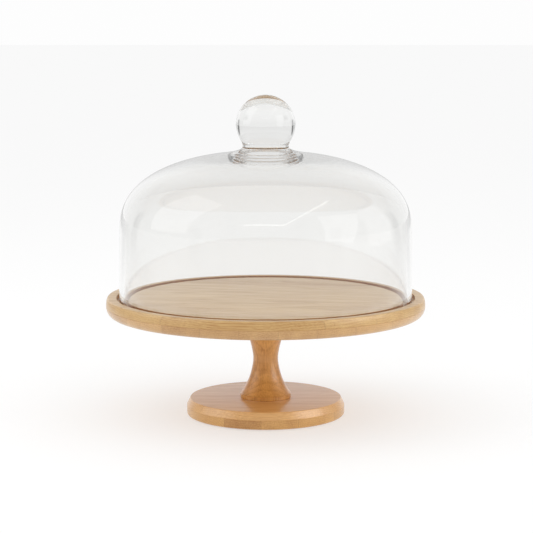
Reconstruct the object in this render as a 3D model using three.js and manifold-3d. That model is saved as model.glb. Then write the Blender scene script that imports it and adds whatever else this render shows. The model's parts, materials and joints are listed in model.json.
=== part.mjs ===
// Domed cake stand: a two-ply wooden plate on a turned pedestal, with a lift-off glass dome.
// Millimetres, +Z up. The origin is the middle of the footprint, at the surface the stand rests on.

import * as THREE from 'three';
import { mergeVertices } from 'three/addons/utils/BufferGeometryUtils.js';
import Module from 'manifold-3d';

const wasm = await Module();
wasm.setup();

// ---------------------------------------------------------------- driving dimensions

// Faces around each turned piece, and steps along each curved stretch of an outline
const SIDES = { plate: 64, dome: 60, base: 48, stem: 36, knob: 36, hardware: 20, hexagon: 6 };
const STEPS = { edge: 4, roundover: 6, ease: 2, stem: 14, crown: 11, inside: 13, fillet: 4, ball: 11 };

// Non-slip pads, let into the underside of the base
const PAD = { count: 4, radius: 7.7, ring: 60, thick: 2.2, proud: 0.8, edge: 0.5 };

// Base disc: two plies, a chamfered top edge and an eased bottom edge
const BASE = { radius: 74.7, lower: 8.75, upper: 7, chamfer: 3.3, ease: 2 };

// Stem: a short collar, then a cove, a waist at two fifths of the height and a long flare.
// Its outline is radius and height above the base.
const STEM = { height: 79.65, collar: 24, collarHigh: 3.95, collarEase: 0.4, top: 22.5 };
const STEM_COVE = [[20.1, 9.35], [15.8, 18.05], [13.2, 26.75], [11.75, 36.8]];
const STEM_FLARE = [[13.05, 46.95], [16.6, 60], [20.4, 71]];

// Plate: two plies, with a seat groove for the dome near the rim
const PLATE = { radius: 150, lower: 9.2, upper: 7.8 };
const PLATE_EDGE = { topIn: 1.85, bottomIn: 7.5 };
const GROOVE = { outer: 140.1, inner: 128, deep: 4.7 };
const PLATE_SINK = 0.6;

// Dome: a near-straight wall, then a superelliptic shoulder and crown. The glass has one thickness
// in the wall and shoulder, and swells a little towards the middle of the crown.
const DOME = { rim: 137.8, shoulder: 137.05, wallHigh: 66.35, rise: 75, powR: 2.223, powZ: 2.445 };
const GLASS = { wall: 5, rimEase: 1.3, swell: 1.16, swellReach: 73.9, swellPower: 1.54, poleFlat: 8 };
const CROWN_LAND = { radius: 34, high: 139.9, lip: 1 };

// Knob: a ball on a straight neck, whose foot spreads over the land on the crown
const KNOB = { ball: 27.7, ballHigh: 165.7, neck: 21.6, neckLow: 144.9, neckHigh: 146.9 };
const KNOB_FOOT = { radius: 31.5, edge: 0.5, shelf: 1 };
const BALL_START = 23.2;
const POLE_FLAT = 0.12;

// Joinery between the stem and its two discs. FIT is the gap around every piece set in another.
const INSERT = { bore: 4.35, body: 7.2, crest: 8.2, flange: 10.4, flangeThick: 1.2, long: 12, turns: 4 };
const STUD = { radius: 4, root: 3.8, crest: 5, inPlate: 10.5, inStem: 30, plain: 5, turns: 6, tip: 1.6 };
const BOLT = { radius: 4, head: 8.6, headThick: 2.6, hexAcross: 5, hexDeep: 2, tip: 0.8, past: 1.5 };
const WASHER = { bore: 4.4, radius: 10.2, thick: 1.6 };
const COUNTERBORE = { radius: 11, deep: 6.2 };
const BOLT_TIP_ROOM = 3;
const OVERCUT = 1;
const FIT = 0.3;

// Heights that follow from the dimensions above
const baseTop = PAD.proud + BASE.lower + BASE.upper;
const stemTop = baseTop + STEM.height;
const plateSeam = stemTop + PLATE.lower;
const plateTop = plateSeam + PLATE.upper;
const grooveFloor = plateTop - GROOVE.deep;

// ---------------------------------------------------------------- materials

function material(name, color, roughness, metalness = 0) {
  return new THREE.MeshStandardMaterial({ name, color, roughness, metalness });
}

const palewood = material('pale wood', 0xcb9f69, 0.45);
const deepwood = material('deep wood', 0xb98f5c, 0.45);
const stemwood = material('stem wood', 0xad7640, 0.4);
const brass = material('brass', 0xc9a552, 0.35, 1);
const steel = material('zinc-plated steel', 0xaeb2b6, 0.35, 1);
const rubber = material('clear-grey pad', 0x8f8d88, 0.7);
const glass = material('glass', 0xe6eae9, 0.03);
glass.transparent = true;
glass.opacity = 0.35;

// ---------------------------------------------------------------- outline helpers
// An outline is a list of [radius, height] points that runs upward on the outside of the piece.

// Quarter ellipse from [r0, z0] to [r1, z1]. It leaves the first point along the wall (upright)
// when upright is true, and along the face (level) when it is false.
function quarter(r0, z0, r1, z1, steps, upright) {
  const points = [];
  for (let i = 0; i <= steps; i += 1) {
    const turn = (i / steps) * (Math.PI / 2);
    const far = Math.sin(turn);
    const near = 1 - Math.cos(turn);
    const along = upright ? near : far;
    const up = upright ? far : near;
    points.push([r0 + (r1 - r0) * along, z0 + (z1 - z0) * up]);
  }
  return points;
}

// Smooth curve through a few [radius, height] points.
function smooth(points, steps) {
  const curve = new THREE.SplineCurve(points.map(([r, z]) => new THREE.Vector2(r, z)));
  return curve.getPoints(steps).map((point) => [point.x, point.y]);
}

// Part of a circle centred on the axis, from one angle above the horizontal to another.
function ballArc(radius, high, from, to, steps) {
  const points = [];
  for (let i = 0; i <= steps; i += 1) {
    const angle = from + ((to - from) * i) / steps;
    points.push([radius * Math.cos(angle), high + radius * Math.sin(angle)]);
  }
  return points;
}

// Ring-shaped thread crests between two heights.
function crests(root, crest, low, high, turns) {
  const pitch = (high - low) / turns;
  const points = [];
  for (let i = 0; i < turns; i += 1) {
    points.push([root, low + pitch * i]);
    points.push([crest, low + pitch * (i + 0.5)]);
  }
  points.push([root, high]);
  return points;
}

// ---------------------------------------------------------------- solid helpers

// Turns an outline about +Z. It either starts and ends on the axis or is closed by its first point.
function turned(outline, sides) {
  const first = outline[0];
  const last = outline[outline.length - 1];
  const closed = first[0] === 0 && last[0] === 0 ? outline : [...outline, first];
  const points = closed.map(([r, z]) => new THREE.Vector2(r, z));
  const geometry = new THREE.LatheGeometry(points, sides);
  geometry.rotateX(Math.PI / 2);
  return geometry;
}

function toSolid(geometry) {
  const bare = geometry.clone();
  bare.deleteAttribute('normal');
  bare.deleteAttribute('uv');
  const merged = mergeVertices(bare, 1e-4);
  const vertProperties = new Float32Array(merged.attributes.position.array);
  const triVerts = new Uint32Array(merged.index.array);
  return new wasm.Manifold(new wasm.Mesh({ numProp: 3, vertProperties, triVerts }));
}

function toGeometry(solid) {
  const mesh = solid.getMesh();
  const geometry = new THREE.BufferGeometry();
  geometry.setAttribute('position', new THREE.BufferAttribute(mesh.vertProperties, 3));
  geometry.setIndex(new THREE.BufferAttribute(mesh.triVerts, 1));
  geometry.computeVertexNormals();
  return geometry;
}

// Cuts each cutter out of a body.
function cut(body, cutters) {
  let solid = toSolid(body);
  for (const cutter of cutters) {
    solid = solid.subtract(toSolid(cutter));
  }
  return toGeometry(solid);
}

// Upright disc or prism that stands on a height.
function upright(radius, low, high, sides) {
  const geometry = new THREE.CylinderGeometry(radius, radius, high - low, sides);
  geometry.rotateX(Math.PI / 2);
  geometry.translate(0, 0, (low + high) / 2);
  return geometry;
}

function place(parent, name, geometry, look, x = 0, y = 0) {
  const mesh = new THREE.Mesh(geometry, look);
  mesh.name = name;
  mesh.position.set(x, y, 0);
  parent.add(mesh);
}

// ---------------------------------------------------------------- plate

// Lower ply: a ring around the threaded insert, rounded under its outer edge.
function plateLowerPly() {
  const bore = INSERT.crest + FIT;
  const recess = INSERT.flange + FIT;
  const recessTop = stemTop + INSERT.flangeThick + FIT;
  const flat = PLATE.radius - PLATE_EDGE.bottomIn;
  return turned([
    [bore, recessTop],
    [recess, recessTop],
    [recess, stemTop],
    ...quarter(flat, stemTop, PLATE.radius, plateSeam, STEPS.roundover, false),
    [bore, plateSeam],
  ], SIDES.plate);
}

// Upper ply: an eased rim, the seat groove, and the slightly lower serving face inside it.
function plateUpperPly() {
  const pocket = INSERT.crest + FIT;
  const pocketTop = stemTop + INSERT.long + FIT;
  const serving = plateTop - PLATE_SINK;
  return turned([
    [0, pocketTop],
    [pocket, pocketTop],
    [pocket, plateSeam],
    ...quarter(PLATE.radius, plateSeam, PLATE.radius - PLATE_EDGE.topIn, plateTop, STEPS.edge, true),
    [GROOVE.outer, plateTop],
    [GROOVE.outer, grooveFloor],
    [GROOVE.inner, grooveFloor],
    [GROOVE.inner, serving],
    [0, serving],
  ], SIDES.plate);
}

// Threaded insert: open at both ends, with a flange and coarse wood thread outside.
function threadedInsert(mouth, up) {
  const flangeEnd = INSERT.flangeThick;
  const outline = [
    [INSERT.bore, 0],
    [INSERT.flange, 0],
    [INSERT.flange, flangeEnd],
    ...crests(INSERT.body, INSERT.crest, flangeEnd, INSERT.long, INSERT.turns),
    [INSERT.bore, INSERT.long],
  ];
  const placed = outline.map(([r, z]) => [r, mouth + (up ? z : -z)]);
  return turned(up ? placed : placed.reverse(), SIDES.hardware);
}

// ---------------------------------------------------------------- stem

function stemOutline() {
  const ease = STEM.collarEase;
  const profile = [
    [STEM.collar - ease, STEM.collarHigh],
    ...STEM_COVE,
    ...STEM_FLARE,
    [STEM.top, STEM.height],
  ];
  const outline = [
    [STEM.collar, 0],
    [STEM.collar, STEM.collarHigh - ease],
    ...smooth(profile, STEPS.stem),
  ];
  return outline.map(([r, z]) => [r, baseTop + z]);
}

// Stem: blind bores in both ends take the stud above and the insert and bolt below.
function stem() {
  const insertBore = INSERT.crest + FIT;
  const recess = INSERT.flange + FIT;
  const recessTop = baseTop + INSERT.flangeThick + FIT;
  const insertTop = baseTop + INSERT.long + FIT;
  const boltBore = BOLT.radius + FIT;
  const boltTop = insertTop + BOLT_TIP_ROOM;
  const studBore = STUD.crest + FIT;
  const studFloor = stemTop - STUD.inStem - FIT;
  return turned([
    [0, boltTop],
    [boltBore, boltTop],
    [boltBore, insertTop],
    [insertBore, insertTop],
    [insertBore, recessTop],
    [recess, recessTop],
    [recess, baseTop],
    ...stemOutline(),
    [studBore, stemTop],
    [studBore, studFloor],
    [0, studFloor],
  ], SIDES.stem);
}

// Double-ended stud: coarse wood thread in the stem, machine thread in the plate's insert.
function stemStud() {
  const low = stemTop - STUD.inStem;
  const high = stemTop + STUD.inPlate;
  const threadLow = low + STUD.tip;
  const threadHigh = stemTop - STUD.plain;
  return turned([
    [0, low],
    [STUD.radius - STUD.tip, low],
    ...crests(STUD.root, STUD.crest, threadLow, threadHigh, STUD.turns),
    [STUD.radius, threadHigh],
    [STUD.radius, high - STUD.tip],
    [STUD.radius - STUD.tip, high],
    [0, high],
  ], SIDES.hardware);
}

// ---------------------------------------------------------------- base

function baseUpperPly() {
  const low = PAD.proud + BASE.lower;
  const bore = BOLT.radius + FIT;
  return turned([
    [bore, low],
    [BASE.radius, low],
    [BASE.radius - BASE.chamfer, baseTop],
    [bore, baseTop],
  ], SIDES.base);
}

// Lower ply: a stepped bore for the bolt, and a shallow round pocket for each pad.
function baseLowerPly() {
  const high = PAD.proud + BASE.lower;
  const floor = PAD.proud + COUNTERBORE.deep;
  const bore = BOLT.radius + FIT;
  const body = turned([
    [bore, floor],
    [COUNTERBORE.radius, floor],
    [COUNTERBORE.radius, PAD.proud],
    ...quarter(BASE.radius - BASE.ease, PAD.proud, BASE.radius, PAD.proud + BASE.ease, STEPS.edge, false),
    [BASE.radius, high],
    [bore, high],
  ], SIDES.base);
  const cutters = padPlaces().map(([x, y]) => {
    const pocket = upright(PAD.radius + FIT, -OVERCUT, PAD.thick, SIDES.hardware);
    return pocket.translate(x, y, 0);
  });
  return cut(body, cutters);
}

function padPlaces() {
  const places = [];
  for (let i = 0; i < PAD.count; i += 1) {
    const angle = ((i + 0.5) / PAD.count) * Math.PI * 2;
    places.push([PAD.ring * Math.cos(angle), PAD.ring * Math.sin(angle)]);
  }
  return places;
}

function footPad() {
  return turned([
    [0, 0],
    [PAD.radius - PAD.edge, 0],
    [PAD.radius, PAD.edge],
    [PAD.radius, PAD.thick],
    [0, PAD.thick],
  ], SIDES.hardware);
}

function baseWasher() {
  const high = PAD.proud + COUNTERBORE.deep;
  const low = high - WASHER.thick;
  return turned([
    [WASHER.bore, low],
    [WASHER.radius, low],
    [WASHER.radius, high],
    [WASHER.bore, high],
  ], SIDES.hardware);
}

// Flat-head bolt up through the base into the stem's insert, with a hexagon socket below.
function baseBolt() {
  const headTop = PAD.proud + COUNTERBORE.deep - WASHER.thick;
  const headLow = headTop - BOLT.headThick;
  const tip = baseTop + INSERT.long + BOLT.past;
  const body = turned([
    [0, headLow],
    [BOLT.head - BOLT.tip, headLow],
    [BOLT.head, headLow + BOLT.tip],
    [BOLT.head, headTop],
    [BOLT.radius, headTop],
    [BOLT.radius, tip - BOLT.tip],
    [BOLT.radius - BOLT.tip, tip],
    [0, tip],
  ], SIDES.hardware);
  const hexCorner = BOLT.hexAcross / Math.sqrt(3);
  const socket = upright(hexCorner, headLow - OVERCUT, headLow + BOLT.hexDeep, SIDES.hexagon);
  return cut(body, [socket]);
}

// ---------------------------------------------------------------- dome, heights above its rim

// Height of the crown's outer face at a radius.
function crownHigh(radius) {
  const across = (radius / DOME.shoulder) ** DOME.powR;
  return DOME.wallHigh + DOME.rise * (1 - across) ** (1 / DOME.powZ);
}

// Shoulder and crown from the wall's top inward to a radius, spaced closer around the shoulder.
function crownArc(inner, steps) {
  const points = [];
  const end = Math.acos((inner / DOME.shoulder) ** (DOME.powR / 2));
  for (let i = 0; i <= steps; i += 1) {
    const turn = (end * i) / steps;
    const radius = DOME.shoulder * Math.cos(turn) ** (2 / DOME.powR);
    points.push([radius, crownHigh(radius)]);
  }
  return points;
}

function glassThickness(radius) {
  const share = Math.max(0, 1 - (radius / GLASS.swellReach) ** 2);
  return GLASS.wall + GLASS.swell * share ** GLASS.swellPower;
}

// Inner face of the crown: the outer face moved inward by the thickness of the glass.
function innerCrown() {
  const outer = crownArc(GLASS.poleFlat, STEPS.inside);
  const points = [[DOME.shoulder - GLASS.wall, DOME.wallHigh]];
  for (let i = 1; i < outer.length - 1; i += 1) {
    const [r, z] = outer[i];
    const along = new THREE.Vector2(outer[i + 1][0] - outer[i - 1][0], outer[i + 1][1] - outer[i - 1][1]);
    along.normalize();
    const thick = glassThickness(r);
    points.push([r - along.y * thick, z + along.x * thick]);
  }
  const highest = points[points.length - 1][1];
  return [...points, [0, highest]];
}

// Dome: one open-bottomed shell with a flat land on its crown for the knob.
function domeShell() {
  const rimInner = DOME.rim - GLASS.wall;
  const ease = GLASS.rimEase;
  return turned([
    ...innerCrown().reverse(),
    ...quarter(rimInner, ease, rimInner + ease, 0, STEPS.ease, true),
    ...quarter(DOME.rim - ease, 0, DOME.rim, ease, STEPS.ease, false),
    ...crownArc(CROWN_LAND.radius, STEPS.crown),
    [CROWN_LAND.radius - CROWN_LAND.lip, CROWN_LAND.high],
    [0, CROWN_LAND.high],
  ], SIDES.dome);
}

// Knob: foot, neck and ball as one piece of solid glass, joined hot to the land on the crown.
function domeKnob() {
  const low = CROWN_LAND.high;
  const shelf = low + KNOB_FOOT.edge;
  const fillet = KNOB_FOOT.radius - KNOB_FOOT.shelf;
  const from = -Math.acos(BALL_START / KNOB.ball);
  const to = Math.PI / 2 - POLE_FLAT;
  return turned([
    [0, low],
    [KNOB_FOOT.radius, low],
    [KNOB_FOOT.radius, shelf],
    ...quarter(fillet, shelf, KNOB.neck, KNOB.neckLow, STEPS.fillet, false),
    [KNOB.neck, KNOB.neckHigh],
    ...ballArc(KNOB.ball, KNOB.ballHigh, from, to, STEPS.ball),
    [0, KNOB.ballHigh + KNOB.ball],
  ], SIDES.knob);
}

// ---------------------------------------------------------------- assembly

const stand = new THREE.Group();
place(stand, 'plate_upper_ply', plateUpperPly(), palewood);
place(stand, 'plate_lower_ply', plateLowerPly(), deepwood);
place(stand, 'plate_insert', threadedInsert(stemTop, true), brass);
place(stand, 'stem_stud', stemStud(), steel);
place(stand, 'stem', stem(), stemwood);
place(stand, 'stem_insert', threadedInsert(baseTop, true), brass);
place(stand, 'base_upper_ply', baseUpperPly(), palewood);
place(stand, 'base_lower_ply', baseLowerPly(), deepwood);
place(stand, 'base_bolt', baseBolt(), steel);
place(stand, 'base_washer', baseWasher(), steel);
padPlaces().forEach(([x, y], index) => {
  place(stand, `foot_pad_${index + 1}`, footPad(), rubber, x, y);
});

const dome = new THREE.Group();
dome.position.z = grooveFloor;
place(dome, 'dome_shell', domeShell(), glass);
place(dome, 'dome_knob', domeKnob(), glass);

const cakeStand = new THREE.Group();
cakeStand.add(stand, dome);

export default cakeStand;
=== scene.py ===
"""Looks for the domed cake stand: fine turned meshes, wood, glass and studio light around the CAD frame."""

import json
import math

import bpy
from mathutils import Matrix, Vector


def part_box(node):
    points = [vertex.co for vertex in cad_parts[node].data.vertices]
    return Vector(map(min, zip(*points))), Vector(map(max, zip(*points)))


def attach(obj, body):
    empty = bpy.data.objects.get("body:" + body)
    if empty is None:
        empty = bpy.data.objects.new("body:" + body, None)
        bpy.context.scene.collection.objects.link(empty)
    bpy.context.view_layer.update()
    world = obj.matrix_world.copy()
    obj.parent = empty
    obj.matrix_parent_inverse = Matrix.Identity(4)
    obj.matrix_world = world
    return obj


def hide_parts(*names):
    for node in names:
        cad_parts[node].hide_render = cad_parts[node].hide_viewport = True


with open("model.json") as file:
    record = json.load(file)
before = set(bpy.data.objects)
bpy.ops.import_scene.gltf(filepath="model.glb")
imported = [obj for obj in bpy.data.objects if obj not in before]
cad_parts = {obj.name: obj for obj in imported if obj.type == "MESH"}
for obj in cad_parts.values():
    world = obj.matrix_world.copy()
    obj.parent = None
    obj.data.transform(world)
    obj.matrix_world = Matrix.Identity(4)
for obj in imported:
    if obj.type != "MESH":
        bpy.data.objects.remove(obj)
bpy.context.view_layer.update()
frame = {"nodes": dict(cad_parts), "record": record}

scene = bpy.context.scene
MM = 0.001

# ---------------------------------------------------------------- sizes, in metres

# Read from the frame
plate_upper_low, plate_upper_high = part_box("plate_upper_ply")
plate_lower_low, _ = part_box("plate_lower_ply")
_, stem_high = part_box("stem")
base_upper_low, base_upper_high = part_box("base_upper_ply")
base_lower_low, base_lower_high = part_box("base_lower_ply")
shell_low, shell_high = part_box("dome_shell")

PLATE_RADIUS = plate_upper_high.x
PLATE_TOP = plate_upper_high.z
PLATE_SEAM = plate_upper_low.z
PLATE_UNDER = plate_lower_low.z
STEM_HIGH = stem_high.z
BASE_RADIUS = base_lower_high.x
BASE_TOP = base_upper_high.z
BASE_SEAM = base_upper_low.z
BASE_UNDER = base_lower_low.z
RIM_LOW = shell_low.z
RIM_RADIUS = shell_high.x

# Repeated from the part's own driving dimensions
EDGE_TOP_IN = 1.85 * MM
EDGE_BOTTOM_IN = 7.5 * MM
GROOVE_OUTER = 140.1 * MM
GROOVE_INNER = 128 * MM
PLATE_SINK = 0.6 * MM
BASE_CHAMFER = 3.3 * MM
BASE_EASE = 2 * MM
STEM_COLLAR = 24 * MM
COLLAR_HIGH = 3.95 * MM
STEM_TOP = 22.5 * MM
# Radius and height above the base, in millimetres: the cove, the waist and the flare
STEM_OUTLINE = [
    (20.1, 9.35), (15.8, 18.05), (13.2, 26.75), (11.75, 36.8), (13.05, 46.95), (16.6, 60), (20.4, 71),
]

# Bores and pockets for the hardware
BOLT_BORE = 4.3 * MM
BOLT_DEEP = 15 * MM
INSERT_POCKET = 10.7 * MM
INSERT_DEEP = 12.5 * MM
STUD_BORE = 5.3 * MM
STUD_DEEP = 30.3 * MM
PLATE_BORE = 8.5 * MM
COUNTERBORE = 11 * MM
COUNTERBORE_DEEP = 6.2 * MM

# Eased edges, which only the fine meshes have
PLATE_SEAM_EASE = 0.25 * MM
GROOVE_MOUTH_EASE = 0.9 * MM
GROOVE_FLOOR_EASE = 1.2 * MM
SERVING_EASE = 0.35 * MM
BASE_SEAM_EASE = 0.2 * MM
BASE_TOP_EASE = 0.5 * MM
BASE_SIDE_EASE = 0.15 * MM
COLLAR_EASE = 0.3 * MM
# The fine nick between the collar and the cove, in millimetres inward and down from the collar's upper edge
COLLAR_NICK = [(0, 0.55), (0.2, 0.3), (0.75, 0.1)]
COVE_IN = 0.4 * MM

# Dome: heights are above its rim. The glass is WALL thick, and thicker by up to CROWN_EXTRA on the crown.
WALL = 5 * MM
WALL_HIGH = 66.35 * MM
RIM_EASE = 1.3 * MM
SHOULDER = 137.05 * MM
RISE = 75 * MM
POWER_R = 2.223
POWER_Z = 2.445
CROWN_EXTRA = 1.16 * MM
EXTRA_REACH = 73.9 * MM
EXTRA_POWER = 1.54
POLE_GAP = 1 * MM
BLEND_START = 42 * MM
BALL = 27.7 * MM
BALL_HIGH = 165.7 * MM
BALL_START = 22.4 * MM
NECK = 21.6 * MM
NECK_LOW = 144.9 * MM
NECK_HIGH = 146.9 * MM

# Fineness of the meshes: faces around each piece, and steps along each curved stretch of an outline
SIDES = {"plate": 256, "stem": 160, "base": 224, "glass": 288}
STEPS = {"edge": 10, "roundover": 14, "ease": 8, "groove": 5, "chamfer": 4, "stem": 10}
GLASS_STEPS = {"rim": 6, "wall": 5, "crown": 80, "inner_crown": 110, "blend": 24, "ball": 72}
SHARP_ANGLE = math.radians(32)

# ---------------------------------------------------------------- outlines: (radius, height) going up outside


def arc(r0, z0, r1, z1, upright, steps):
    """Quarter ellipse that leaves the first point upright, or level."""
    points = []
    for i in range(steps + 1):
        turn = (i / steps) * math.pi / 2
        far, near = math.sin(turn), 1 - math.cos(turn)
        along, up = (near, far) if upright else (far, near)
        points.append((r0 + (r1 - r0) * along, z0 + (z1 - z0) * up))
    return points


def corner_curve(start, corner, end, steps):
    """Smooth curve from start to end that heads for the corner at first and comes from it at last."""
    shares = [k / steps for k in range(steps + 1)]
    return [tuple(start.lerp(corner, t).lerp(corner.lerp(end, t), t)) for t in shares]


def rounded(points, radii, steps):
    """Rounds the corners of an outline whose number is in radii, each by its own radius."""
    out = [points[0]]
    for i in range(1, len(points) - 1):
        before, here, after = (Vector(p) for p in points[i - 1 : i + 2])
        if i not in radii:
            out.append(tuple(here))
            continue
        start = here + (before - here).normalized() * radii[i]
        end = here + (after - here).normalized() * radii[i]
        out += corner_curve(start, here, end, steps)
    out.append(points[-1])
    return out


def spline(points, per_span):
    """Catmull-Rom curve through a few points."""
    ends = [points[0], *points, points[-1]]
    out = []
    for i in range(len(points) - 1):
        a, b, c, d = (Vector(p) for p in ends[i : i + 4])
        for k in range(per_span):
            t = k / per_span
            twice = 2 * b + (c - a) * t
            twice += (2 * a - 5 * b + 4 * c - d) * t**2
            twice += (3 * b - a - 3 * c + d) * t**3
            out.append(tuple(0.5 * twice))
    out.append(tuple(points[-1]))
    return out


def ring_faces(count, sides, closed):
    """Four-sided faces between each ring of points and the next, and back to the first one if closed."""
    faces = []
    for i in range(count if closed else count - 1):
        low, high = i * sides, ((i + 1) % count) * sides
        for s in range(sides):
            t = (s + 1) % sides
            faces.append((low + s, low + t, high + t, high + s))
    return faces


def revolve(name, outline, sides):
    """A closed mesh turned about +Z. The outline starts and ends on the axis, or closes on itself."""
    on_axis = outline[0][0] == 0 and outline[-1][0] == 0
    rings = outline[1:-1] if on_axis else outline
    angles = [2 * math.pi * s / sides for s in range(sides)]
    verts = [(r * math.cos(angle), r * math.sin(angle), z) for r, z in rings for angle in angles]
    faces = ring_faces(len(rings), sides, not on_axis)
    if on_axis:
        first, last = len(verts), len(verts) + 1
        verts += [(0, 0, outline[0][1]), (0, 0, outline[-1][1])]
        top = first - sides
        for s in range(sides):
            t = (s + 1) % sides
            faces.append((first, t, s))
            faces.append((last, top + s, top + t))
    mesh = bpy.data.meshes.new(name)
    mesh.from_pydata(verts, [], faces)
    mesh.update()
    mesh.shade_smooth()
    mesh.set_sharp_from_angle(angle=SHARP_ANGLE)
    piece = bpy.data.objects.new(name, mesh)
    scene.collection.objects.link(piece)
    return piece


# The pieces that the sheen lamps light
varnished = bpy.data.collections.new("varnished")


def add_piece(piece, body, nodes, slot, material):
    piece.data.materials.append(material)
    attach(piece, body)
    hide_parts(*nodes)
    if slot.endswith("_wood"):
        varnished.objects.link(piece)


# ---------------------------------------------------------------- shader helpers


class Shader:
    """A node tree and short ways to add its nodes. It makes a material, or works on the world it is given."""

    def __init__(self, name, world=None):
        self.owner = world or bpy.data.materials.new(name)
        self.owner.use_nodes = True
        self.tree = self.owner.node_tree

    def node(self, kind, inputs=None, **settings):
        made = self.tree.nodes.new(kind)
        for key, value in settings.items():
            setattr(made, key, value)
        for key, value in (inputs or {}).items():
            self.feed(made.inputs[key], value)
        return made

    def feed(self, socket, value):
        if hasattr(value, "is_output"):
            self.tree.links.new(value, socket)
        else:
            socket.default_value = value

    def surface(self, inputs):
        """Fills sockets of the material's Principled BSDF, by name, and gives the node."""
        principled = self.tree.nodes["Principled BSDF"]
        for name, value in inputs.items():
            self.feed(principled.inputs[name], value)
        return principled

    def place(self):
        return self.node("ShaderNodeTexCoord").outputs["Object"]

    def split(self, vector):
        return self.node("ShaderNodeSeparateXYZ", {0: vector}).outputs

    def combine(self, x, y, z):
        return self.node("ShaderNodeCombineXYZ", {0: x, 1: y, 2: z}).outputs[0]

    def path(self):
        return self.node("ShaderNodeLightPath").outputs

    def maths(self, operation, *values):
        made = self.tree.nodes.new("ShaderNodeMath")
        made.operation = operation
        for socket, value in zip(made.inputs, values):
            self.feed(socket, value)
        return made.outputs[0]

    def total(self, first, *others):
        for other in others:
            first = self.maths("ADD", first, other)
        return first

    def product(self, first, *others):
        for other in others:
            first = self.maths("MULTIPLY", first, other)
        return first

    def less(self, a, b):
        return self.maths("SUBTRACT", a, b)

    def length(self, a, b):
        return self.maths("SQRT", self.total(self.product(a, a), self.product(b, b)))

    def around(self, value, strength):
        """How far a value from 0 to 1 is from its middle, times strength."""
        return self.product(self.less(value, 0.5), strength)

    def mix(self, factor, a, b):
        """A colour: a where factor is 0, b where it is 1."""
        made = self.node("ShaderNodeMix", data_type="RGBA")
        for key, value in (("Factor", factor), ("A", a), ("B", b)):
            self.feed(made.inputs[key], value)
        return made.outputs["Result"]

    def pick(self, factor, a, b):
        """A number: a where factor is 0, b where it is 1."""
        return self.total(a, self.product(factor, self.less(b, a)))

    def span(self, value, low, high, to_low=0.0, to_high=1.0, smooth=True):
        """Carries a value from one range to another, and stops at the ends."""
        made = self.tree.nodes.new("ShaderNodeMapRange")
        made.interpolation_type = "SMOOTHSTEP" if smooth else "LINEAR"
        for socket, number in zip(made.inputs, (value, low, high, to_low, to_high)):
            self.feed(socket, number)
        return made.outputs[0]

    def rise(self, value, fade, full=1.0):
        return self.span(value, *fade, 0.0, full)

    def fall(self, value, fade, full=1.0):
        return self.span(value, *fade, full, 0.0)

    def band(self, value, rise, fall):
        """1 between the two fades and 0 outside them."""
        return self.product(self.rise(value, rise), self.fall(value, fall))

    def is_mirrored(self):
        """1 for a ray that comes off a mirror-like face, and 0 for all others."""
        path = self.path()
        return self.product(path["Is Glossy Ray"], self.less(1.0, path["Is Transmission Ray"]))

    def noise(self, vector, scale, detail=2.0, roughness=0.5):
        inputs = {"Vector": vector, "Scale": scale, "Detail": detail, "Roughness": roughness}
        return self.node("ShaderNodeTexNoise", inputs).outputs["Fac"]

    def bump(self, height, strength, distance):
        inputs = {"Height": height, "Strength": strength, "Distance": distance}
        return self.node("ShaderNodeBump", inputs).outputs[0]


def rgb(r, g, b):
    """Linear colour from the tone as seen on a screen, 0 to 255."""
    linear = [((c / 255 + 0.055) / 1.055) ** 2.4 if c > 10 else c / 255 / 12.92 for c in (r, g, b)]
    return (*linear, 1.0)


def shaded(colour, share):
    return (*(c * share for c in colour[:3]), 1.0)


# ---------------------------------------------------------------- wood

# Staves: the width of a board, the width of the joint line at each of its edges as a share of that, how dark
# and how brown the line is, the lowest and highest place of the heart of a board's rings, and the longest
# jump in figure from board to board
STAVE = 34 * MM
JOINT_WIDE = 0.015
JOINT_DARK = 0.22
JOINT_BROWN = 0.42
HEART_DEEP = (-60 * MM, -14 * MM)
STAVE_JUMP = 3.0

# Painted shade in the seat groove, deeper on the walls than on the floor: its colour, its share on the walls
# and floor, and the distances from the axis and the heights over which it fades
GROOVE_SHADE_COLOUR = (148, 82, 16)
GROOVE_WALL_SHADE = 0.95
GROOVE_FLOOR_SHADE = 0.4
GROOVE_INNER_FADE = (GROOVE_INNER - 0.6 * MM, GROOVE_INNER + 0.2 * MM)
GROOVE_OUTER_FADE = (GROOVE_OUTER - 0.2 * MM, GROOVE_OUTER + 0.6 * MM)
GROOVE_LIP_FADE = (-0.5 * MM, -0.1 * MM)
GROOVE_WALL_FADE = (RIM_LOW + 0.2 * MM, RIM_LOW + 1.6 * MM)
GROOVE_LIP_SINK = 0.1 * MM

# Figures drawn out along the fibres: stretch, scale, detail and roughness of the noise
SWAY = (0.16, 26.0, 2.0, 0.5)
FIBRES = (0.03, 1100.0, 3.0, 0.62)
FLECKS = (0.07, 1500.0, 2.0, 0.5)
CLOUDS = (0.12, 85.0, 2.0, 0.5)
FLECK_FADE = (0.6, 0.74)
SWAY_REACH = 14 * MM
CURL_STRETCH = 0.4
CURL_SCALE = 210.0
CURL_DETAIL = 3.0
# How late in a year's ring the dark comes, and where it ends
LATE_POWER = 2.2
LATE_FADE = (0.86, 1.0)

# What each figure adds to the share of the dark colour
PLAIN_SHARE = 0.3
FIBRE_SHARE = 1.15
CLOUD_SHARE = 0.6
FLECK_SHARE = 0.26

WOOD_ROUGHNESS = (0.36, 0.5)
WOOD_IOR = 1.45
WOOD_RELIEF = 0.25 * MM
RELIEF_STRENGTH = 0.12
VARNISH_ROUGHNESS = 0.24
VARNISH_IOR = 1.5


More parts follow.
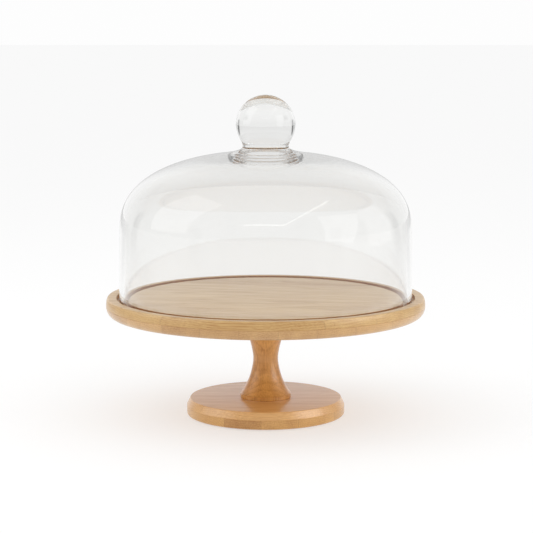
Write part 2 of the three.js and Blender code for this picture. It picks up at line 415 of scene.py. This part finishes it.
def staves(s, across, shift, seed):
    """Boards side by side. Gives each one's tone, joint line, heart position and jump along the grain."""
    lane = s.maths("DIVIDE", s.less(across, shift), STAVE)
    index = s.maths("FLOOR", lane)
    in_lane = s.less(lane, index)
    dice = s.node("ShaderNodeTexWhiteNoise", {"W": s.total(index, seed)}, noise_dimensions="1D")
    luck = s.node("ShaderNodeSeparateColor", {0: dice.outputs["Color"]}).outputs
    edge = s.maths("MINIMUM", in_lane, s.less(1.0, in_lane))
    joint = s.fall(edge, (0.0, JOINT_WIDE))
    heart_across = s.product(s.total(index, shift / STAVE, luck[0]), STAVE)
    heart_deep = s.span(luck[1], 0.0, 1.0, *HEART_DEEP, smooth=False)
    return dice.outputs["Value"], joint, heart_across, heart_deep, s.product(luck[2], STAVE_JUMP)


def groove_painted_shade(s, place):
    """Share of painted shade on the walls and floor of the seat groove, and 0 elsewhere."""
    x, y, z = s.split(place)
    away = s.length(x, y)
    ring = s.band(away, GROOVE_INNER_FADE, GROOVE_OUTER_FADE)
    lip = s.span(away, GROOVE_INNER, GROOVE_OUTER, PLATE_TOP - PLATE_SINK, PLATE_TOP - GROOVE_LIP_SINK)
    below = s.fall(s.less(z, lip), GROOVE_LIP_FADE)
    depth = s.span(z, *GROOVE_WALL_FADE, GROOVE_FLOOR_SHADE, GROOVE_WALL_SHADE)
    return s.product(ring, s.product(below, depth))


def drawn_out(s, block, figure):
    """Noise drawn out along the fibres. block is the place along them and, from the heart, the two ways
    across them."""
    along, side, depth = block
    stretch, *texture = figure
    return s.noise(s.combine(s.product(along, stretch), side, depth), *texture)


def late_wood(s, block, rings):
    """0 to 1: how dark the place is within a year's ring around the heart. rings is a ring's width."""
    _, side, depth = block
    radius = s.total(s.length(side, depth), s.around(drawn_out(s, block, SWAY), SWAY_REACH))
    phase = s.maths("FRACT", s.maths("DIVIDE", radius, rings))
    return s.product(s.maths("POWER", phase, LATE_POWER), s.fall(phase, LATE_FADE))


def curls(s, block):
    """Noise drawn out square to the fibres."""
    along, side, _ = block
    return s.noise(s.combine(along, s.product(side, CURL_STRETCH), 0.0), CURL_SCALE, CURL_DETAIL)


def wood(
    name, grain, light, dark, stave_shift=None, seed=0.0, heart=(0.0, 0.0), rings=1.9 * MM,
    ring_share=0.26, tone_share=0.4, curl_share=0.0, turned=0.0, coat=0.75, groove=False,
):
    """Satin-varnished wood. grain is the fibre axis. With stave_shift the piece is glued from staves, each
    with its own tone, rings and figure, and joints square to the other level axis. turned is in degrees
    about +Z. The shares are what the rings, the staves' tones and the curl add to the share of the dark
    colour."""
    s = Shader(name)
    place = s.place()
    if turned:
        spin = {"Vector": place, "Angle": math.radians(turned)}
        place = s.node("ShaderNodeVectorRotate", spin, rotation_type="Z_AXIS").outputs[0]
    x, y, z = s.split(place)
    along, across, deep = {"X": (x, y, z), "Y": (y, x, z), "Z": (z, x, y)}[grain]
    if stave_shift is None:
        tone, joint, jump = 0.5, 0.0, seed
        heart_across, heart_deep = heart
    else:
        tone, joint, heart_across, heart_deep, jump = staves(s, across, stave_shift, seed)
    block = (s.total(along, jump), s.less(across, heart_across), s.less(deep, heart_deep))

    late = late_wood(s, block, rings)
    fibres = drawn_out(s, block, FIBRES)
    flecks = s.rise(drawn_out(s, block, FLECKS), FLECK_FADE)
    clouds = drawn_out(s, block, CLOUDS)
    share = s.total(PLAIN_SHARE, s.product(late, ring_share), s.around(fibres, FIBRE_SHARE))
    share = s.total(share, s.around(clouds, CLOUD_SHARE), s.product(flecks, FLECK_SHARE))
    if curl_share:
        share = s.total(share, s.around(curls(s, block), curl_share))
    share = s.total(share, s.around(tone, tone_share))
    share = s.node("ShaderNodeClamp", {0: share}).outputs[0]

    colour = s.mix(share, light, dark)
    colour = s.mix(s.product(joint, JOINT_DARK), colour, shaded(dark, JOINT_BROWN))
    # Painted shade: the seat groove's walls and floor are darkened towards a deep brown
    if groove:
        colour = s.mix(groove_painted_shade(s, place), colour, rgb(*GROOVE_SHADE_COLOUR))
    height = s.less(s.product(fibres, -0.5), s.product(late, 0.5))
    s.surface({
        "Base Color": colour,
        "Roughness": s.span(share, 0.0, 1.0, *WOOD_ROUGHNESS, smooth=False),
        "Normal": s.bump(height, RELIEF_STRENGTH, WOOD_RELIEF),
        "IOR": WOOD_IOR,
        "Coat Weight": coat,
        "Coat Roughness": VARNISH_ROUGHNESS,
        "Coat IOR": VARNISH_IOR,
    })
    return s.owner


# ---------------------------------------------------------------- glass

GLASS_TINT = (0.974, 0.974, 0.966, 1.0)
GLASS_IOR = 1.5
GLASS_SOAK = (0.0, 0.02, 0.0, 1.0)
GLASS_SOAK_DENSITY = 1.2
# Share of a lamp's light that passes straight through one face to what is inside
LAMP_THROUGH = (0.965, 0.965, 0.965, 1.0)


def clear_glass(name):
    """Clear glass that bends what is seen through it and lets lamps light what is inside."""
    s = Shader(name)
    bending = s.surface({
        "Base Color": GLASS_TINT,
        "Transmission Weight": 1.0,
        "Roughness": 0.0,
        "IOR": GLASS_IOR,
    })
    path = s.path()
    lamp_ray = s.maths("MAXIMUM", path["Is Shadow Ray"], path["Is Diffuse Ray"])
    straight = s.node("ShaderNodeBsdfTransparent", {"Color": LAMP_THROUGH})
    both = s.node("ShaderNodeMixShader", {0: lamp_ray, 1: bending.outputs[0], 2: straight.outputs[0]})
    soak = s.node("ShaderNodeVolumeAbsorption", {"Color": GLASS_SOAK, "Density": GLASS_SOAK_DENSITY})
    output = s.tree.nodes["Material Output"]
    s.feed(output.inputs["Surface"], both.outputs[0])
    s.feed(output.inputs["Volume"], soak.outputs[0])
    return s.owner


# ---------------------------------------------------------------- metals and pads

BRASS = (214, 180, 104)
STEEL = (188, 192, 196)
METAL_SHADE = 0.8
METAL_ROUGHNESS = (0.22, 0.42)
METAL_CLOUD_SCALE = 180.0
TURNING_SCALE = 5200.0
TURNING_RELIEF = 0.05 * MM
TURNING_STRENGTH = 0.15
PAD_GREYS = ((150, 148, 143), (118, 116, 112))
PAD_ROUGHNESS = (0.6, 0.8)
PAD_GRIT_SCALE = 2600.0
PAD_RELIEF = 0.1 * MM
PAD_STRENGTH = 0.3
# Detail of the metals' clouds and of the pads' grit
FINE_DETAIL = 3.0
GRIT_ROUGHNESS = 0.6
# The range that a noise mostly stays in
NOISE_RANGE = (0.3, 0.7)


def plain_metal(name, colour):
    """Machined metal with fine turning marks."""
    s = Shader(name)
    place = s.place()
    marks = s.noise(s.combine(0.0, 0.0, s.split(place)[2]), TURNING_SCALE)
    cloud = s.noise(place, METAL_CLOUD_SCALE, FINE_DETAIL)
    s.surface({
        "Base Color": s.mix(cloud, colour, shaded(colour, METAL_SHADE)),
        "Roughness": s.span(marks, *NOISE_RANGE, *METAL_ROUGHNESS),
        "Metallic": 1.0,
        "Normal": s.bump(marks, TURNING_STRENGTH, TURNING_RELIEF),
    })
    return s.owner


def pad_rubber(name):
    s = Shader(name)
    grit = s.noise(s.place(), PAD_GRIT_SCALE, FINE_DETAIL, GRIT_ROUGHNESS)
    s.surface({
        "Base Color": s.mix(grit, *(rgb(*grey) for grey in PAD_GREYS)),
        "Roughness": s.span(grit, *NOISE_RANGE, *PAD_ROUGHNESS),
        "Normal": s.bump(grit, PAD_STRENGTH, PAD_RELIEF),
    })
    return s.owner


def dress_hardware():
    """Gives the CAD nodes that stay in view the material of their slot."""
    looks = {
        "insert_brass": plain_metal("insert_brass", rgb(*BRASS)),
        "fastener_steel": plain_metal("fastener_steel", rgb(*STEEL)),
        "pad_rubber": pad_rubber("pad_rubber"),
    }
    slots = {part["node"]: part["material_slot"] for part in frame["record"]["subparts"]}
    for name, node in frame["nodes"].items():
        if slots[name] in looks:
            node.data.materials.clear()
            node.data.materials.append(looks[slots[name]])


# ---------------------------------------------------------------- pieces: wood


def make_plate_upper():
    serving = PLATE_TOP - PLATE_SINK
    upper_edge = (PLATE_RADIUS - EDGE_TOP_IN, PLATE_TOP)
    outside = [
        (0, PLATE_SEAM),
        (PLATE_RADIUS - PLATE_SEAM_EASE, PLATE_SEAM),
        *arc(PLATE_RADIUS, PLATE_SEAM + PLATE_SEAM_EASE, *upper_edge, True, STEPS["edge"]),
    ]
    inside = [
        outside[-1],
        (GROOVE_OUTER, PLATE_TOP),
        (GROOVE_OUTER, RIM_LOW),
        (GROOVE_INNER, RIM_LOW),
        (GROOVE_INNER, serving),
        (0, serving),
    ]
    eases = {1: GROOVE_MOUTH_EASE, 2: GROOVE_FLOOR_EASE, 3: GROOVE_FLOOR_EASE, 4: SERVING_EASE}
    outline = outside[:-1] + rounded(inside, eases, STEPS["groove"])
    piece = revolve("plate_upper", outline, SIDES["plate"])
    # The seat groove of the serving ply gets painted shade
    look = wood(
        "plate_upper_wood", "X", rgb(214, 178, 118), rgb(170, 121, 64),
        stave_shift=-131 * MM, seed=705.0, ring_share=0.42, turned=9, coat=0.5, groove=True,
    )
    add_piece(piece, "stand", ["plate_upper_ply"], "plate_upper_wood", look)


def make_plate_lower():
    under_edge = (PLATE_RADIUS - EDGE_BOTTOM_IN, PLATE_UNDER)
    outline = [
        (PLATE_BORE, PLATE_UNDER),
        *arc(*under_edge, PLATE_RADIUS, PLATE_SEAM - PLATE_SEAM_EASE, False, STEPS["roundover"]),
        (PLATE_RADIUS - PLATE_SEAM_EASE, PLATE_SEAM),
        (PLATE_BORE, PLATE_SEAM),
    ]
    piece = revolve("plate_lower", outline, SIDES["plate"])
    look = wood(
        "plate_lower_wood", "Y", rgb(212, 170, 112), rgb(158, 110, 60),
        stave_shift=-91 * MM, seed=6718.0,
    )
    add_piece(piece, "stand", ["plate_lower_ply"], "plate_lower_wood", look)


def make_stem():
    collar_top = BASE_TOP + COLLAR_HIGH
    foot = [
        (0, BASE_TOP + BOLT_DEEP),
        (BOLT_BORE, BASE_TOP + BOLT_DEEP),
        (BOLT_BORE, BASE_TOP + INSERT_DEEP),
        (INSERT_POCKET, BASE_TOP + INSERT_DEEP),
        (INSERT_POCKET, BASE_TOP),
        (STEM_COLLAR - COLLAR_EASE, BASE_TOP),
        (STEM_COLLAR, BASE_TOP + COLLAR_EASE),
        *((STEM_COLLAR - inward * MM, collar_top - down * MM) for inward, down in COLLAR_NICK),
    ]
    body = [
        (STEM_COLLAR - COVE_IN, COLLAR_HIGH),
        *((r * MM, z * MM) for r, z in STEM_OUTLINE),
        (STEM_TOP, STEM_HIGH - BASE_TOP),
    ]
    curve = [(r, z + BASE_TOP) for r, z in spline(body, STEPS["stem"])]
    stud_end = STEM_HIGH - STUD_DEEP
    head = [(STUD_BORE, STEM_HIGH), (STUD_BORE, stud_end), (0, stud_end)]
    piece = revolve("stem_turned", foot + curve + head, SIDES["stem"])
    look = wood(
        "stem_wood", "Z", rgb(229, 169, 87), rgb(169, 107, 37),
        seed=0.7, heart=(3 * MM, 26 * MM), rings=3.1 * MM, ring_share=0.3, curl_share=0.6,
    )
    add_piece(piece, "stand", ["stem"], "stem_wood", look)


def make_base_upper():
    outline = [
        (BOLT_BORE, BASE_SEAM),
        (BASE_RADIUS - BASE_SEAM_EASE, BASE_SEAM),
        (BASE_RADIUS, BASE_SEAM + BASE_SEAM_EASE),
        (BASE_RADIUS - BASE_CHAMFER, BASE_TOP),
        (BOLT_BORE, BASE_TOP),
    ]
    outline = rounded(outline, {2: BASE_SIDE_EASE, 3: BASE_TOP_EASE}, STEPS["chamfer"])
    piece = revolve("base_upper", outline, SIDES["base"])
    look = wood(
        "base_upper_wood", "X", rgb(232, 186, 122), rgb(190, 131, 66),
        stave_shift=-9 * MM, seed=3209.0,
    )
    add_piece(piece, "stand", ["base_upper_ply"], "base_upper_wood", look)


def make_base_lower():
    washer_seat = BASE_UNDER + COUNTERBORE_DEEP
    under_edge = (BASE_RADIUS - BASE_EASE, BASE_UNDER)
    outline = [
        (BOLT_BORE, washer_seat),
        (COUNTERBORE, washer_seat),
        (COUNTERBORE, BASE_UNDER),
        *arc(*under_edge, BASE_RADIUS, BASE_UNDER + BASE_EASE, False, STEPS["ease"]),
        (BASE_RADIUS, BASE_SEAM - BASE_SEAM_EASE),
        (BASE_RADIUS - BASE_SEAM_EASE, BASE_SEAM),
        (BOLT_BORE, BASE_SEAM),
    ]
    piece = revolve("base_lower", outline, SIDES["base"])
    look = wood(
        "base_lower_wood", "Y", rgb(216, 167, 97), rgb(159, 105, 47),
        stave_shift=-38 * MM, seed=3466.0, tone_share=0.7,
    )
    add_piece(piece, "stand", ["base_lower_ply"], "base_lower_wood", look)


# ---------------------------------------------------------------- pieces: glass


def crown_high(radius):
    return WALL_HIGH + RISE * (1 - (radius / SHOULDER) ** POWER_R) ** (1 / POWER_Z)


def crown_arc(inner, steps):
    """Shoulder and crown, from the top of the wall inward to a radius."""
    end = math.acos((inner / SHOULDER) ** (POWER_R / 2))
    radii = [SHOULDER * math.cos(end * i / steps) ** (2 / POWER_R) for i in range(steps + 1)]
    return [(radius, crown_high(radius)) for radius in radii]


def inner_crown(steps):
    """The crown's inner face: the outer face moved inward by the thickness of the glass, from the wall
    to the axis."""
    outer = crown_arc(POLE_GAP, steps)
    points = []
    for before, (r, z), after in zip(outer, outer[1:], outer[2:]):
        along = (Vector(after) - Vector(before)).normalized()
        thick = WALL + CROWN_EXTRA * max(0, 1 - (r / EXTRA_REACH) ** 2) ** EXTRA_POWER
        points.append((r - along.y * thick, z + along.x * thick))
    inside = [point for point in points if point[0] > POLE_GAP / 2]
    return [(SHOULDER - WALL, WALL_HIGH), *inside, (0, inside[-1][1])]


def neck_blend(start, steps):
    """Smooth run from the crown up into the neck. It leaves the crown along the crown's own slope."""
    high = crown_high(start)
    nearby = 0.1 * MM
    slope = (crown_high(start - nearby) - high) / nearby
    corner = Vector((NECK, high + slope * (start - NECK)))
    return corner_curve(Vector((start, high)), corner, Vector((NECK, NECK_LOW)), steps)


def make_glass():
    """Shell and knob as one piece, because the knob is joined to the crown while the glass is hot."""
    steps = GLASS_STEPS
    rim_in = RIM_RADIUS - WALL
    up_wall = [k / steps["wall"] for k in range(1, steps["wall"])]
    wall = [(RIM_RADIUS + (SHOULDER - RIM_RADIUS) * t, WALL_HIGH * t) for t in up_wall]
    wall_inside = [(r - WALL, z) for r, z in reversed(wall)]
    start = -math.acos(BALL_START / BALL)
    turns = [start + (math.pi / 2 - start) * i / steps["ball"] for i in range(steps["ball"])]
    ball = [(BALL * math.cos(turn), BALL_HIGH + BALL * math.sin(turn)) for turn in turns]
    outline = [
        *reversed(inner_crown(steps["inner_crown"])),
        *wall_inside,
        *arc(rim_in, RIM_EASE, rim_in + RIM_EASE, 0, True, steps["rim"]),
        *arc(RIM_RADIUS - RIM_EASE, 0, RIM_RADIUS, RIM_EASE, False, steps["rim"]),
        *wall,
        *crown_arc(BLEND_START, steps["crown"]),
        *neck_blend(BLEND_START, steps["blend"])[1:],
        (NECK, NECK_HIGH),
        *ball,
        (0, BALL_HIGH + BALL),
    ]
    piece = revolve("dome_glass", [(r, RIM_LOW + z) for r, z in outline], SIDES["glass"])
    add_piece(piece, "dome", ["dome_shell", "dome_knob"], "dome_glass", clear_glass("dome_glass"))


# ---------------------------------------------------------------- studio

WHITE = (1.0, 1.0, 1.0, 1.0)
BACKDROP = 0.985
SKY_LIGHT = 0.9
FLOOR_HALF = 40.0
FLOOR_ALBEDO = (0.5, 0.5, 0.5, 1.0)
FLOOR_GLOW = 0.5

# Fades named REACH are over the distance on the floor from the axis, in metres. The others are over a part of
# a unit vector, along X (ASIDE), Y (BACK) or Z (UP): on the floor it is the one from the axis to the place,
# and in the sky the one that the ray follows.
# What glass mirrors: a table that is bright near the stand, and a dim room with a white screen at the back
# and a soft glow above
TABLE_REACH = (0.7, 1.3)
MIRROR_ROOM = 0.3
MIRROR_ABOVE = 0.15
ABOVE_UP = (0.3, 0.9)
MIRROR_SCREEN = 0.3
MIRROR_SCREEN_SIDES = 0.74
SCREEN_ASIDE = (0.1, 0.3)
SCREEN_BACK = (0.5, 0.9)
# What glass bends into view: the white sweep, greyer towards the front, with a dark flag at each side and a
# soft shade on the floor inside each flag
SWEEP_FRONT = 0.6
SWEEP_BACK = 0.88
SWEEP_FADE_BACK = (-0.2, 0.8)
FLAG_DARK = 0.85
FLAG_ASIDE = ((0.765, 0.795), (0.855, 0.885))
FLAG_UP = (0.22, 0.36)
FLAG_REACH = (1.2, 1.8)
SHADE_DARK = 0.3
SHADE_ASIDE = ((0.4, 0.5), (0.52, 0.66))
SHADE_REACH = ((0.6, 1.3), (1.2, 2.0))

# Lamps face this point. Each place is the middle of a lamp's lower edge and of its upper edge.
AIM = Vector((0, 0, 0.2))
LEFT = ((-1.57, -0.32, 0.31), (-0.89, -0.09, 1.87))
RIGHT = ((1.78, -1.19, 0.04), (1.19, -0.58, 1.15))
RIGHT_WINDOW = ((1.6, 0.2, 0.0), (1.6, 0.2, 1.25))
RIGHT_SHEEN = ((1.78, -0.6, 0.3), (1.19, -0.3, 1.5))
BACK_SHEEN = ((0.0, 2.6, 0.0), (0.0, 2.6, 1.5))
STRIP_ACROSS = ((-1.47, -4.48, 2.6), (1.24, -4.48, 2.6))
STRIP_ALONG = ((1.24, -4.48, 2.6), (1.46, -0.04, 2.6))

CAMERA_PLACE = (0.0008, -1.614, 0.3618)
CAMERA_DOWN = 0.136
CAMERA_LENS = 116.92
CAMERA_SENSOR = 36.0


def make_floor():
    """A white floor that glows, so that it runs into the backdrop."""
    mesh = bpy.data.meshes.new("floor")
    corners = [(FLOOR_HALF * x, FLOOR_HALF * y, 0) for x, y in ((-1, -1), (1, -1), (1, 1), (-1, 1))]
    mesh.from_pydata(corners, [], [(0, 1, 2, 3)])
    floor = bpy.data.objects.new("floor", mesh)
    scene.collection.objects.link(floor)
    s = Shader("floor_white")
    x, y, _ = s.split(s.place())
    table = s.fall(s.length(x, s.maths("MINIMUM", y, 0.0)), TABLE_REACH, FLOOR_GLOW)
    reach = s.length(x, y)
    aside = s.maths("DIVIDE", s.maths("ABSOLUTE", x), reach)
    flag = s.product(s.band(aside, *FLAG_ASIDE), s.rise(reach, FLAG_REACH, FLAG_DARK))
    shade = s.product(s.band(aside, *SHADE_ASIDE), s.band(reach, *SHADE_REACH), SHADE_DARK)
    bent = s.product(s.path()["Is Transmission Ray"], s.maths("MAXIMUM", flag, shade))
    glow = s.product(FLOOR_GLOW, s.less(1.0, bent))
    s.surface({
        "Base Color": FLOOR_ALBEDO,
        "Roughness": 0.9,
        "Specular IOR Level": 0.0,
        "Emission Color": WHITE,
        "Emission Strength": s.pick(s.is_mirrored(), glow, table),
    })
    mesh.materials.append(s.owner)


def make_world():
    """Even white for the camera and for soft light, and a dimmer studio for the glass to mirror and bend."""
    scene.world = bpy.data.worlds.new("studio")
    s = Shader("studio", scene.world)
    x, back, up = s.split(s.node("ShaderNodeTexCoord").outputs["Generated"])
    aside = s.maths("ABSOLUTE", x)
    screen = s.span(aside, *SCREEN_ASIDE, MIRROR_SCREEN, MIRROR_SCREEN_SIDES)
    above = s.span(up, *ABOVE_UP, MIRROR_ROOM, MIRROR_ROOM + MIRROR_ABOVE)
    mirrored = s.total(s.product(s.rise(back, SCREEN_BACK), screen), above)
    sweep = s.span(back, *SWEEP_FADE_BACK, SWEEP_FRONT, SWEEP_BACK)
    flag = s.product(s.band(aside, *FLAG_ASIDE), s.fall(s.maths("ABSOLUTE", up), FLAG_UP, FLAG_DARK))
    bent = s.product(sweep, s.less(1.0, flag))
    path = s.path()
    level = s.pick(s.is_mirrored(), bent, mirrored)
    level = s.pick(path["Is Diffuse Ray"], level, SKY_LIGHT)
    level = s.pick(path["Is Camera Ray"], level, BACKDROP)
    background = s.tree.nodes["Background"]
    s.feed(background.inputs["Strength"], level)
    s.feed(background.inputs["Color"], WHITE)


def add_panel(name, place, width, radiance, sheen=False, through_glass=True):
    """A flat soft lamp. With sheen it only adds a highlight to the varnished pieces. Without through_glass a
    ray that leaves the glass does not see it, so it never stands as a white block behind the dome."""
    low, high = (Vector(edge) for edge in place)
    up = (high - low).normalized()
    back = (low + high) / 2 - AIM
    back = (back - up * back.dot(up)).normalized()
    data = bpy.data.lights.new(name, "AREA")
    data.shape = "RECTANGLE"
    data.size = width
    data.size_y = (high - low).length
    data.energy = radiance * math.pi * data.size * data.size_y
    lamp = bpy.data.objects.new(name, data)
    scene.collection.objects.link(lamp)
    lamp.location = (low + high) / 2
    lamp.rotation_euler = Matrix((up.cross(back), up, back)).transposed().to_euler()
    lamp.visible_transmission = through_glass
    if sheen:
        lamp.visible_diffuse = False
        lamp.light_linking.receiver_collection = varnished


def make_lights():
    add_panel("left_box", LEFT, width=1.0, radiance=0.9, through_glass=False)
    add_panel("right_box", RIGHT, width=0.9, radiance=1.05, through_glass=False)
    add_panel("right_window", RIGHT_WINDOW, width=0.8, radiance=0.35)
    add_panel("left_sheen", LEFT, width=1.2, radiance=2.6, sheen=True)
    add_panel("right_sheen", RIGHT_SHEEN, width=1.2, radiance=2.6, sheen=True)
    add_panel("back_sheen", BACK_SHEEN, width=3.0, radiance=0.26, sheen=True)
    add_panel("strip_across", STRIP_ACROSS, width=0.16, radiance=2.5)
    add_panel("strip_along", STRIP_ALONG, width=0.06, radiance=2.5)


def make_camera():
    data = bpy.data.cameras.new("camera")
    data.sensor_width = CAMERA_SENSOR
    data.lens = CAMERA_LENS
    camera = bpy.data.objects.new("camera", data)
    scene.collection.objects.link(camera)
    camera.location = CAMERA_PLACE
    camera.rotation_euler = (math.pi / 2 - CAMERA_DOWN, 0, 0)
    scene.camera = camera


# ---------------------------------------------------------------- build

# Light that turns many times within the thick glass still has to come out of it
scene.cycles.transmission_bounces = 48
scene.cycles.glossy_bounces = 96
scene.cycles.max_bounces = 128
scene.cycles.transparent_max_bounces = 16
scene.view_settings.view_transform = "Standard"

make_camera()
make_lights()
make_world()
make_floor()
make_plate_upper()
make_plate_lower()
make_stem()
make_base_upper()
make_base_lower()
make_glass()
dress_hardware()
